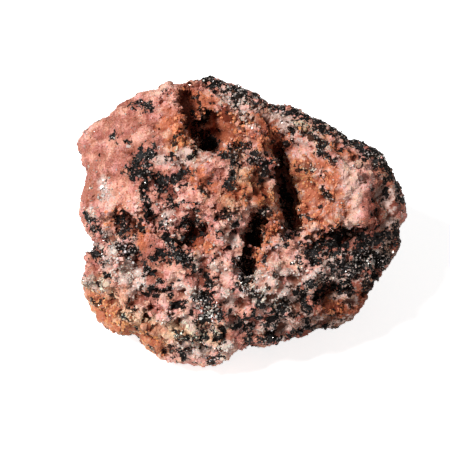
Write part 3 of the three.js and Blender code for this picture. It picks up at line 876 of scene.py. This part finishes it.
def share_out(seats):
    """Sorts seats by the mineral that grows there, with ragged edges between them."""
    count = len(seats)
    black_score = np.minimum(black_amount[seats], BLACK_CROWD) + MIXING * (draw.random(count) - BLACK_DRAW)
    pale_score = pale_amount[seats] + MIXING * (draw.random(count) - OTHER_DRAW)
    pale_score[draw.random(count) < SALT_SHARE] += 1
    pale_score += PALE_IN_BLACK * (black_amount[seats] > WELL_BLACK)
    rust_score = rust_amount[seats] + MIXING * (draw.random(count) - OTHER_DRAW)
    is_black = black_score > GROWS_ABOVE
    is_rust = ~is_black & (rust_score > GROWS_ABOVE) & (rust_score > pale_score)
    is_pale = ~is_black & ~is_rust & (pale_score > GROWS_ABOVE)
    is_other = is_black | is_rust | is_pale
    is_rose = ~is_other & (tone_field[seats] > MIDDLE_TONE)
    return {
        "rose": seats[is_rose], "brick": seats[~is_other & ~is_rose], "black": seats[is_black],
        "rust": seats[is_rust], "pale": seats[is_pale],
    }


print("black grows on about", share_of(black_amount > GROWS_ABOVE), "of the skin")

# %% [markdown]
# Crystals lie every way up in this rock, so each copy gets a turn of its own. Three random angles
# would favour some directions. A random quaternion favours none.

# %% Turn crystals at random
skin_normals = read_vectors(rock_body, "normal")


def random_turns(count):
    """Evenly random rotation matrices, from random quaternions."""
    w, x, y, z = (lambda q: q / np.linalg.norm(q, axis=0))(draw.normal(size=(4, count)))
    rows = [
        [1 - 2 * (y * y + z * z), 2 * (x * y - w * z), 2 * (x * z + w * y)],
        [2 * (x * y + w * z), 1 - 2 * (x * x + z * z), 2 * (y * z - w * x)],
        [2 * (x * z - w * y), 2 * (y * z + w * x), 1 - 2 * (x * x + y * y)],
    ]
    return np.array(rows).transpose(2, 0, 1)


print("normals that show which way is out:", len(skin_normals))

# %% [markdown]
# Each mineral's grains are one mesh. Joining thousands of objects takes minutes, so the corners and
# faces of all copies are worked out as arrays instead. Every grain is sunk more than halfway into
# the skin, and takes its tint and its stains from the place where it sits.

# %% Join the copies into one mesh
TINT_SPREAD = 0.3
SEAT_JITTER = 0.16
SOOT = 0.36


def mesh_from_arrays(name, corners, loops, starts):
    """A flat-sided mesh: its corners, which of them the faces go round, and where each face starts."""
    mesh = bpy.data.meshes.new(name)
    mesh.vertices.add(len(corners))
    mesh.vertices.foreach_set("co", corners.astype(np.float32).ravel())
    mesh.loops.add(len(loops))
    mesh.loops.foreach_set("vertex_index", loops.astype(np.int32))
    mesh.polygons.add(len(starts))
    mesh.polygons.foreach_set("loop_start", starts.astype(np.int32))
    mesh.update(calc_edges=True)
    mesh.shade_flat()
    mesh.calc_loop_triangles()
    print(name, len(mesh.loop_triangles), "triangles")
    return mesh


def set_crystals(name, shapes, at, size, stretch, proud, turns=None, lighter=0.0):
    """Joins a turned, stretched copy of a crystal at each seat into one mesh.

    size is each crystal's width in mm, proud how much of it stands out of the skin, and lighter
    what is added to its tint.
    """
    count = len(at)
    turns = random_turns(count) if turns is None else turns
    stretches = draw.uniform(1 - stretch, 1 + stretch, (count, 3)) * size[:, None] * MM
    middles = skin_places[at] + skin_normals[at] * ((proud - 0.5) * size * MM)[:, None]
    aside = np.cross(skin_normals[at], draw.normal(size=(count, 3)))
    middles += SEAT_JITTER * MM * aside
    pick = draw.integers(len(shapes), size=count)
    tints = tone_field[at] + TINT_SPREAD * (draw.random(count) - 0.5) - SOOT * soot[at]
    corners, owners, loops, starts = [], [], [], []
    for kind, shape in enumerate(shapes):
        chosen = np.flatnonzero(pick == kind)
        local = shape["corners"][None] * stretches[chosen][:, None]
        placed = np.einsum("nij,nkj->nki", turns[chosen], local) + middles[chosen][:, None]
        face_loops = np.concatenate(shape["faces"])
        face_starts = np.cumsum([0] + [len(face) for face in shape["faces"][:-1]])
        first_corner = sum(map(len, corners)) + len(shape["corners"]) * np.arange(len(chosen))
        first_loop = sum(map(len, loops)) + len(face_loops) * np.arange(len(chosen))
        corners.append(placed.reshape(-1, 3))
        owners.append(np.repeat(chosen, len(shape["corners"])))
        loops.append((face_loops[None] + first_corner[:, None]).ravel())
        starts.append((face_starts[None] + first_loop[:, None]).ravel())
    corners, owners, loops, starts = (np.concatenate(part) for part in (corners, owners, loops, starts))
    corners[:, 2] = np.maximum(corners[:, 2], 0)
    piece = add_object(name, mesh_from_arrays(name, corners, loops, starts))
    write_map(piece, "tint", np.clip(tints + lighter, 0, 1)[owners])
    for key in ("rust", "hollow", "ochre"):
        write_map(piece, key, skin_maps[key][at[owners]])
    return piece


# %% [markdown]
# Chips are set first and then the fines, each size over the whole skin. Near the edge of the face
# they lie flatter, which keeps the rock's outline calm. Rusty chips are smaller, because rust forms
# a fine crust. One mesh for each mineral and size keeps every piece light.

# %% Set the chips and the fines
SHAPES = {"chip": chip_shapes, "fine": fine_shapes}
SIZE_SPREAD = (0.6, 1.5)
STRETCH = {"rose": 0.3, "brick": 0.3, "black": 0.5, "rust": 0.3, "pale": 0.55}
RUSTY_CHIP_WIDTH = 0.75
RIM_FLATNESS = 0.8

rim = smooth_step(abs(skin_out), 1.0, 7.0)
pieces = {"rock_body": rock_body}
for kind, form in GRAIN_SIZES.items():
    spacing = form["spacing"] * size_drift
    for mineral, at in share_out(pick_seats(skin_places, spacing, above_base)).items():
        name = f"{mineral}_{kind}s"
        size = spacing[at] * form["fill"] * draw.uniform(*SIZE_SPREAD, len(at))
        size *= RUSTY_CHIP_WIDTH if name == "rust_chips" else 1
        proud = draw.uniform(*form["proud"], len(at)) * (1 - RIM_FLATNESS * (1 - rim[at]))
        pieces[name] = set_crystals(name, SHAPES[kind], at, size, STRETCH[mineral], proud)

# %% [markdown]
# Mica gives the white glints. Flakes lie roughly along the skin, most of them in the black and where
# the rock sparkles. A glossy bump map would flash evenly all over. On the rock only a few flakes are
# turned to the light, so only a few flakes are painted near white, as painted glints, with more of
# them where the rock sparkles.

# %% Mica flakes
FLAKE_COUNT = 9000
FLAKE_TILT = 0.5
FLAKE_STRETCH = 0.25
FLAKE_PROUD = 0.85
SMALLEST_FLAKE = 0.15
FLAKE_GROWTH = 0.30
MICA_ANYWHERE = 0.2
MICA_IN_PALE = 0.6
MICA_IN_BLACK = 3.4
MICA_IN_GLINTS = 6
PAINTED_GLINT_CHANCE = 0.04
STROKE_GLINT_CHANCE = 0.30
GLINT_GROWTH = 0.25
# Where the rock sparkles: more and larger flakes, and more of them painted near white as glints.
GLINT_STROKES = [
    ("slab", 1.6, (-27, 8.4), (-26.6, 4)),
    ("pale block's top", 1.4, (-24.8, -5), (-21.8, -6.6)),
    ("pale block's side", 1.6, (-21.4, -9.6), (-20, -11.8)),
    ("left hollow's rim", 0.9, (-29.2, 2.4), (-28.4, 1.8)),
    ("under the left hollow", 1, (-27.4, -2.6), (-26.6, -3.6)),
    ("lower pit", 1, (-18, -19.2), (-15.6, -19)),
    ("nook", 1.2, (-16, 3), (-14.6, 0)),
    ("middle hollow's edge", 0.9, (-6.4, -4), (-5.8, -4.4)),
    ("pale block's foot", 1.6, (-30.6, -12), (-28, -12.4)),
    ("crater's lip", 0.8, (-9.4, 16.2), (-9, 15.6)),
    ("lower clots", 2.2, (-9, -15), (-6, -18)),
    ("under the lower cleft", 2.4, (0, -8), (1, -12)),
    ("right field", 3, (24, -8), (28, -5)),
]


def turns_facing(normals, tilt):
    """Rotation matrices whose third axis is each normal, tipped at random."""
    facing = normals + tilt * draw.normal(size=normals.shape)
    facing /= np.linalg.norm(facing, axis=1)[:, None]
    side = np.cross(facing, draw.normal(size=normals.shape))
    side /= np.linalg.norm(side, axis=1)[:, None]
    return np.stack([side, np.cross(facing, side), facing], axis=2)


glints = MICA_IN_GLINTS * front * np.clip(stroke_cover(GLINT_STROKES, skin_right, skin_up), 0, 1)
mica_wish = MICA_ANYWHERE + MICA_IN_PALE * skin_maps["pale"] + MICA_IN_BLACK * black_cover + glints
mica_wish *= above_base
flake_seats = draw.choice(len(skin_places), FLAKE_COUNT, replace=False, p=mica_wish / mica_wish.sum())
flake_size = SMALLEST_FLAKE + FLAKE_GROWTH * draw.random(FLAKE_COUNT) ** 3
in_glints = np.clip(glints[flake_seats], 0, 1)
flake_size += GLINT_GROWTH * in_glints * draw.random(FLAKE_COUNT)
# Painted glints: these flakes get a lighter tint, near white, as if turned to the light.
painted_glint = draw.random(FLAKE_COUNT) < PAINTED_GLINT_CHANCE + STROKE_GLINT_CHANCE * in_glints
pieces["mica_flakes"] = set_crystals(
    "mica_flakes", flake_shapes, flake_seats, flake_size, FLAKE_STRETCH, np.full(FLAKE_COUNT, FLAKE_PROUD),
    turns_facing(skin_normals[flake_seats], FLAKE_TILT), lighter=painted_glint,
)

# %% [markdown]
# ## Finishes
# Up close no crystal is one flat colour. Cells give a bump for the steps on its faces, and noise
# gives a speckle of tone and gloss. Modelling either would take millions of faces. All finishes
# need this, so it is built once, as a shader group with named sockets.

# %% Shader group: crystal grain
FLOAT, COLOR, VECTOR = "NodeSocketFloat", "NodeSocketColor", "NodeSocketVector"


def new_group(name, inputs, outputs):
    """An empty shader group with named sockets, and its input and output nodes."""
    group = bpy.data.node_groups.new(name, "ShaderNodeTree")
    for socket, kind, value in inputs:
        made = group.interface.new_socket(name=socket, in_out="INPUT", socket_type=kind)
        made.default_value = value
    for socket, kind in outputs:
        group.interface.new_socket(name=socket, in_out="OUTPUT", socket_type=kind)
    return group, group.nodes.new("NodeGroupInput").outputs, group.nodes.new("NodeGroupOutput").inputs


grain_group, grain_in, grain_out = new_group(
    "fine_grain",
    [("Vector", VECTOR, (0, 0, 0)), ("Scale", FLOAT, 4000.0)],
    [("Height", FLOAT), ("Mask", FLOAT)],
)
fine_cells = grain_group.nodes.new("ShaderNodeTexVoronoi")
fine_noise = grain_group.nodes.new("ShaderNodeTexNoise")
for texture in (fine_cells, fine_noise):
    feed(grain_group, texture.inputs, {"Vector": grain_in["Vector"], "Scale": grain_in["Scale"]})
feed(grain_group, grain_out, {"Height": fine_cells.outputs["Distance"], "Mask": fine_noise.outputs["Fac"]})
print("nodes for the grain:", len(grain_group.nodes))

# %% [markdown]
# Every mineral changes in the same ways: from dark to light grains, from a rosy to a golden cast over
# a few millimetres, and with rust and shade where it lies deep. Each could repeat this in its own
# tree, but with a group each only gives its colours.

# %% Shader group: a grain's tone
WARMTH_SCALE = 420.0
WARMTH_ROUGHNESS = 0.75
GOLDEN_FROM = 0.40
GOLDEN_FULL = 0.62
OCHRE_CAST = (0.95, 1.01, 0.88, 1)
HOLLOW_SHADE = (0.50, 0.31, 0.22, 1)


def mix_colours(tree, share, first, second, blend="MIX"):
    """A colour mix. The node has sockets of the same name for each type, so they go by identifier."""
    mix = tree.nodes.new("ShaderNodeMix")
    mix.data_type = "RGBA"
    mix.blend_type = blend
    sockets = {socket.identifier: socket for socket in mix.inputs}
    feed(tree, sockets, {"Factor_Float": share, "A_Color": first, "B_Color": second})
    return next(socket for socket in mix.outputs if socket.identifier == "Result_Color")


def map_range(tree, value, low, high, to_low, to_high):
    """Turns the range from low to high into the one from to_low to to_high."""
    node = tree.nodes.new("ShaderNodeMapRange")
    feed(tree, node.inputs, {
        "Value": value, "From Min": low, "From Max": high, "To Min": to_low, "To Max": to_high,
    })
    return node.outputs["Result"]


tone_group, tone_in, tone_out = new_group(
    "grain_tone",
    [(name, COLOR, WHITE) for name in ("Dark", "Middle", "Light", "Rust", "Rosy", "Golden")]
    + [("Tint", FLOAT, 0.5), ("Stain", FLOAT, 0.0), ("Hollow", FLOAT, 0.0), ("Ochre", FLOAT, 0.0)]
    + [("Vector", VECTOR, (0, 0, 0))],
    [("Color", COLOR)],
)
low_half = math_node(tone_group, "MULTIPLY", tone_in["Tint"], 2.0)
high_half = math_node(tone_group, "MULTIPLY_ADD", tone_in["Tint"], 2.0, -1.0)
tone = mix_colours(tone_group, low_half, tone_in["Dark"], tone_in["Middle"])
tone = mix_colours(tone_group, high_half, tone, tone_in["Light"])
warmth = tone_group.nodes.new("ShaderNodeTexNoise")
feed(tone_group, warmth.inputs, {
    "Vector": tone_in["Vector"], "Scale": WARMTH_SCALE, "Detail": 5.0, "Roughness": WARMTH_ROUGHNESS,
})
golden_share = map_range(tone_group, warmth.outputs["Fac"], GOLDEN_FROM, GOLDEN_FULL, 0.0, 1.0)
golden = math_node(tone_group, "ADD", golden_share, tone_in["Ochre"])
cast = mix_colours(tone_group, golden, tone_in["Rosy"], tone_in["Golden"])
ochre_cast = mix_colours(tone_group, tone_in["Ochre"], WHITE, OCHRE_CAST)
tone = mix_colours(tone_group, 1.0, tone, ochre_cast, "MULTIPLY")
tone = mix_colours(tone_group, 1.0, tone, cast, "MULTIPLY")
tone = mix_colours(tone_group, tone_in["Stain"], tone, tone_in["Rust"])
# Painted shade, partly a stain: darker in the hollows and on the painted shade patches.
shaded = mix_colours(tone_group, 1.0, tone, HOLLOW_SHADE, "MULTIPLY")
tone = mix_colours(tone_group, tone_in["Hollow"], tone, shaded)
feed(tone_group, tone_out, {"Color": tone})
print("nodes for the tone:", len(tone_group.nodes))

# %% [markdown]
# The grains and the skin take their tone, speckle and bump in the same way, so these steps come
# before any finish. The maps kept on the vertices are read here by name.

# %% Put the groups to use
SPECKLE_RANGE = (0.3, 0.7)


def read_map(tree, name):
    """The output of a node that reads one of the maps kept on the vertices."""
    node = tree.nodes.new("ShaderNodeAttribute")
    node.attribute_name = name
    return node.outputs["Fac"]


def place_group(tree, group, values):
    """Puts a shader group in a tree, feeds it and returns its outputs."""
    node = tree.nodes.new("ShaderNodeGroup")
    node.node_tree = group
    feed(tree, node.inputs, values)
    return node.outputs


def grain_and_colour(tree, scale, speckle, tones, casts, rust, stain, hollow):
    """The fine grain's outputs, and the colour of a mineral that is speckled by it."""
    place = tree.nodes.new("ShaderNodeTexCoord").outputs["Object"]
    grain = place_group(tree, grain_group, {"Vector": place, "Scale": scale})
    speckled = map_range(tree, grain["Mask"], *SPECKLE_RANGE, -speckle, speckle)
    tone = place_group(tree, tone_group, {
        "Dark": tones[0], "Middle": tones[1], "Light": tones[2], "Rosy": casts[0], "Golden": casts[1],
        "Tint": math_node(tree, "ADD", read_map(tree, "tint"), speckled), "Vector": place,
        "Rust": rust, "Stain": stain, "Hollow": hollow, "Ochre": read_map(tree, "ochre"),
    })
    return grain, tone["Color"]


def add_bump(tree, shader, height, strength, distance):
    """Lets a height tip the light on a finish, which leaves its shape alone."""
    bump = tree.nodes.new("ShaderNodeBump")
    feed(tree, bump.inputs, {"Height": height, "Strength": strength, "Distance": distance})
    feed(tree, shader.inputs, {"Normal": bump.outputs["Normal"]})


print("maps to read:", ", ".join(rock_body.data.attributes.keys()))

# %% [markdown]
# Five finishes cover the grains. The pink, the rust and the pale mica glow a little inside, because
# light goes into thin mica and comes out again. The black oxide is nearly a metal in the hand, but
# bright metal would read as grey, so it is a very dark colour with a weak shine.

# %% Grain materials
GRAIN_SCALE = 3500.0
GRAIN_SPECKLE = 0.2
GRAIN_BUMP = 0.25
GRAIN_STEP = 0.0001
GLOW_RADIUS = (1.0, 0.35, 0.25)
GLOW_DEPTH = 0.0006
PINK_CASTS = [(1.0, 0.92, 0.96, 1), (1.0, 1.04, 0.86, 1)]
RUST_CASTS = [(1.06, 0.85, 0.84, 1), (0.95, 1.05, 0.84, 1)]
PALE_CASTS = [(1.0, 0.95, 0.98, 1), (1.0, 1.0, 0.91, 1)]
PINKS = [(0.35, 0.118, 0.086, 1), (0.62, 0.287, 0.240, 1), (0.72, 0.455, 0.40, 1)]
BLACKS = [(0.004, 0.0028, 0.0024, 1), (0.010, 0.0058, 0.0042, 1), (0.10, 0.04, 0.026, 1)]
RUSTS = [(0.31, 0.076, 0.038, 1), (0.69, 0.235, 0.115, 1), (0.80, 0.335, 0.185, 1)]
PALES = [(0.37, 0.265, 0.23, 1), (0.60, 0.44, 0.385, 1), (0.66, 0.57, 0.52, 1)]
MICAS = [(0.24, 0.20, 0.185, 1), (0.42, 0.375, 0.345, 1), (0.86, 0.84, 0.82, 1)]


def grain_material(
    name, tones, rust, stain, roughness, casts=PINK_CASTS, shading=1.0, metallic=0.0, glow=0.0, shine=0.5
):
    """A mineral's material: dark, middle and light grains, and how strongly rust stains them."""
    material, tree, shader = new_material(name)
    stained = map_range(tree, read_map(tree, "rust"), 0.0, 1.0, 0.0, stain)
    shade = map_range(tree, read_map(tree, "hollow"), 0.0, 1.0, 0.0, shading)
    grain, colour = grain_and_colour(tree, GRAIN_SCALE, GRAIN_SPECKLE, tones, casts, rust, stained, shade)
    feed(tree, shader.inputs, {
        "Base Color": colour, "Roughness": map_range(tree, grain["Mask"], *SPECKLE_RANGE, *roughness),
        "Metallic": metallic, "Specular IOR Level": shine, "Subsurface Weight": glow,
        "Subsurface Radius": GLOW_RADIUS, "Subsurface Scale": GLOW_DEPTH,
    })
    add_bump(tree, shader, grain["Height"], GRAIN_BUMP, GRAIN_STEP)
    return material


pink = grain_material(
    "pink_ephesite", PINKS, (0.52, 0.165, 0.09, 1), 0.7, (0.42, 0.65), glow=0.35, shine=0.4
)
black = grain_material("black_oxide", BLACKS, (0.08, 0.022, 0.010, 1), 0.7, (0.3, 0.55), shine=0.14)
rusty = grain_material(
    "rusty_ephesite", RUSTS, (0.50, 0.14, 0.07, 1), 0.3, (0.45, 0.7), RUST_CASTS, 0.6, glow=0.3, shine=0.35
)
pale = grain_material(
    "pale_mica", PALES, (0.56, 0.28, 0.18, 1), 0.4, (0.38, 0.6), PALE_CASTS, glow=0.35, shine=0.4
)
bright = grain_material(
    "bright_mica", MICAS, (0.50, 0.30, 0.22, 1), 0.4, (0.12, 0.35), PALE_CASTS, metallic=0.2
)
print("grain materials:", [material.name for material in (pink, black, rusty, pale, bright)])

# %% [markdown]
# Between the grains the skin itself shows, in the creases above all. It could be one brown, but then
# every gap in a pink patch would stand out. It takes the same tones and stains as the grains on it,
# and goes black under the veins, with a ragged edge.

# %% The skin's material
SKIN_SCALE = 2500.0
SKIN_SPECKLE = 0.3
SKIN_BUMP = 0.4
SKIN_STEP = 0.00015
RAGGED = 0.5
BLACK_BLEND = 0.25
RUST_BROWN = (0.42, 0.12, 0.06, 1)
PALE_SKIN = (0.55, 0.385, 0.335, 1)
BLACK_SKIN = (0.007, 0.0055, 0.005, 1)
CREASE_SHADE = (0.42, 0.23, 0.17, 1)

skin, tree, shader = new_material("rock_skin")
grain, colour = grain_and_colour(
    tree, SKIN_SCALE, SKIN_SPECKLE, PINKS, PINK_CASTS, RUST_BROWN,
    stain=read_map(tree, "rust"), hollow=read_map(tree, "hollow"),
)
colour = mix_colours(tree, read_map(tree, "pale"), colour, PALE_SKIN)
# Painted shade: the skin is darker in its small creases.
crease_colour = mix_colours(tree, 1.0, colour, CREASE_SHADE, "MULTIPLY")
colour = mix_colours(tree, read_map(tree, "crease"), colour, crease_colour)
ragged = map_range(tree, grain["Mask"], *SPECKLE_RANGE, -RAGGED, RAGGED)
ragged_black = math_node(tree, "ADD", read_map(tree, "black_amount"), ragged, clamp=False)
blackness = map_range(tree, ragged_black, 0.0, BLACK_BLEND, 0.0, 1.0)
colour = mix_colours(tree, blackness, colour, BLACK_SKIN)
feed(tree, shader.inputs, {"Base Color": colour, "Roughness": 0.6, "Specular IOR Level": 0.2})
add_bump(tree, shader, grain["Height"], SKIN_BUMP, SKIN_STEP)
print("nodes for the skin:", len(tree.nodes))

# %% [markdown]
# Every piece gets its finish and says which part it moves with. The rock is one solid, so all of it
# rides on the root. The skin takes the place of the plain solid, and the crystals are added on top
# of it.

# %% Give each piece its finish and its place in the part
FINISHES = {
    "rock": (skin, "pink_ephesite"), "rose": (pink, "pink_ephesite"), "brick": (pink, "pink_ephesite"),
    "black": (black, "black_oxide"), "rust": (rusty, "rusty_ephesite"), "pale": (pale, "pale_mica"),
    "mica": (bright, "pale_mica"),
}
rock_body.data.materials.clear()
for name, piece in pieces.items():
    finish, slot = FINISHES[name.split("_")[0]]
    piece.data.materials.append(finish)
    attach(piece, "root")
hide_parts("ephesite_rock")
print("pieces:", len(pieces))
